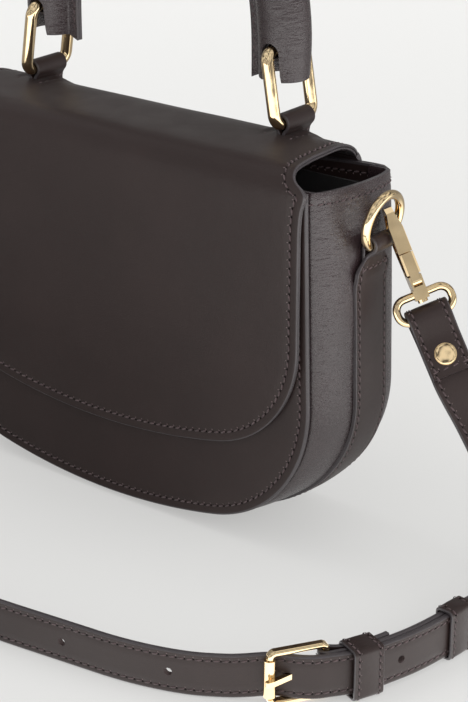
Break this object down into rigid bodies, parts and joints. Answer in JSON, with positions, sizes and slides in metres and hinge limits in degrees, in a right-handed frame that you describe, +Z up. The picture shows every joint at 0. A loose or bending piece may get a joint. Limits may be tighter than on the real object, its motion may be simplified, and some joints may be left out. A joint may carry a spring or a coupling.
{
  "type": "crossbody bag",
  "caption": "Small flap crossbody bag with a padded ringed top handle, a swelling gusset and a buckled shoulder strap on swivel hooks.",
  "frame": {"origin": "on the surface the bag stands on, midway between the two panels and midway along its width", "axes": "+X to the right seen from the front, +Y towards the back panel, +Z up"},
  "size_m": [0.4307, 0.1891, 0.2853],
  "materials": {
    "smooth_leather": "smooth fine-grained dark brown leather with a soft sheen and grey painted edges",
    "crinkle_leather": "the same leather with a soft crinkled grain",
    "gold_hardware": "polished pale gold plating",
    "magnet_steel": "plated magnetic snap discs, hidden between the leather layers",
    "lining_cloth": "near-black woven lining",
    "stiffener": "plain bonded fibre stiffening, hidden"
  },
  "bodies": {
    "root": {"front_panel": "smooth_leather", "back_panel": "smooth_leather", "gusset": "crinkle_leather", "gusset_strip": "smooth_leather", "front_board": "stiffener", "back_board": "stiffener", "lining": "lining_cloth", "inner_pocket": "lining_cloth", "panel_magnet": "magnet_steel", "flap_tail": "smooth_leather", "side_loop_left": "smooth_leather", "side_loop_right": "smooth_leather", "strap_eye_left": "gold_hardware", "strap_eye_right": "gold_hardware", "strap_long": "smooth_leather", "strap_short": "smooth_leather", "strap_rivets": "gold_hardware", "buckle_frame": "gold_hardware", "buckle_prong": "gold_hardware", "keeper_fixed": "smooth_leather"},
    "flap": {"flap_outer": "smooth_leather", "flap_lining": "smooth_leather", "flap_magnet": "magnet_steel", "tab_left": "smooth_leather", "tab_right": "smooth_leather"},
    "handle_ring_left": {"handle_ring_left": "gold_hardware"},
    "handle_ring_right": {"handle_ring_right": "gold_hardware"},
    "handle": {"handle_cover": "smooth_leather", "handle_core": "stiffener", "handle_loop_left": "smooth_leather", "handle_loop_right": "smooth_leather"},
    "side_ring_left": {"side_ring_left": "gold_hardware"},
    "side_ring_right": {"side_ring_right": "gold_hardware"},
    "hook_left": {"hook_left": "gold_hardware"},
    "hook_right": {"hook_right": "gold_hardware"},
    "hook_gate_left": {"hook_gate_left": "gold_hardware"},
    "hook_gate_right": {"hook_gate_right": "gold_hardware"},
    "buckle_roller": {"buckle_roller": "gold_hardware"},
    "keeper_loose": {"keeper_loose": "smooth_leather"}
  },
  "joints": [
    {"name": "flap_hinge", "type": "hinge", "parent": "root", "child": "flap", "pos_m": [0, 0.0307, 0.15803], "axis": [-1, 0, 0], "range_deg": [0, 110]},
    {"name": "ring_left_swing", "type": "hinge", "parent": "flap", "child": "handle_ring_left", "pos_m": [-0.0693, 0.0155, 0.1753], "axis": [0, 1, 0], "range_deg": [-16, 16]},
    {"name": "ring_right_swing", "type": "hinge", "parent": "flap", "child": "handle_ring_right", "pos_m": [0.0693, 0.0155, 0.1753], "axis": [0, 1, 0], "range_deg": [-16, 16]},
    {"name": "handle_swing", "type": "hinge", "parent": "handle_ring_left", "child": "handle", "pos_m": [-0.06435, 0.0155, 0.20489], "axis": [0, 1, 0], "range_deg": [-17.5, 17.5]},
    {"name": "side_ring_right_swing", "type": "hinge", "parent": "root", "child": "side_ring_right", "pos_m": [0.12296, 0, 0.138], "axis": [0, 1, 0], "range_deg": [0, 12]},
    {"name": "hook_right_swivel", "type": "hinge", "parent": "root", "child": "hook_right", "pos_m": [0.13741, 0.0094, 0.11672], "axis": [0.451, 0.0297, -0.8921], "range_deg": [-5, 1]},
    {"name": "hook_gate_right_hinge", "type": "hinge", "parent": "hook_right", "child": "hook_gate_right", "pos_m": [0.13761, 0.00604, 0.12305], "axis": [-0.6377, -0.6886, -0.3453], "range_deg": [0, 18], "stiffness_Nm_per_rad": 0.02},
    {"name": "side_ring_left_swing", "type": "hinge", "parent": "root", "child": "side_ring_left", "pos_m": [-0.12296, 0, 0.138], "axis": [0, -1, 0], "range_deg": [0, 12]},
    {"name": "hook_left_swivel", "type": "hinge", "parent": "root", "child": "hook_left", "pos_m": [-0.13741, 0.0094, 0.11672], "axis": [0.451, -0.0297, 0.8921], "range_deg": [-5, 1]},
    {"name": "hook_gate_left_hinge", "type": "hinge", "parent": "hook_left", "child": "hook_gate_left", "pos_m": [-0.13761, 0.00604, 0.12305], "axis": [-0.6377, 0.6886, 0.3453], "range_deg": [0, 18], "stiffness_Nm_per_rad": 0.02},
    {"name": "roller_spin", "type": "hinge", "parent": "root", "child": "buckle_roller", "pos_m": [0.16201, -0.12203, 0.0118], "axis": [0, 0, 1], "continuous": true},
    {"name": "keeper_slide", "type": "slide", "parent": "root", "child": "keeper_loose", "axis": [0.1132, 0.9936, 0], "range_m": [-0.004, 0.004]}
  ],
  "couplings": [
    {"joint": "ring_right_swing", "follows": "ring_left_swing", "ratio": 1},
    {"joint": "handle_swing", "follows": "ring_left_swing", "ratio": -1.077}
  ]
}
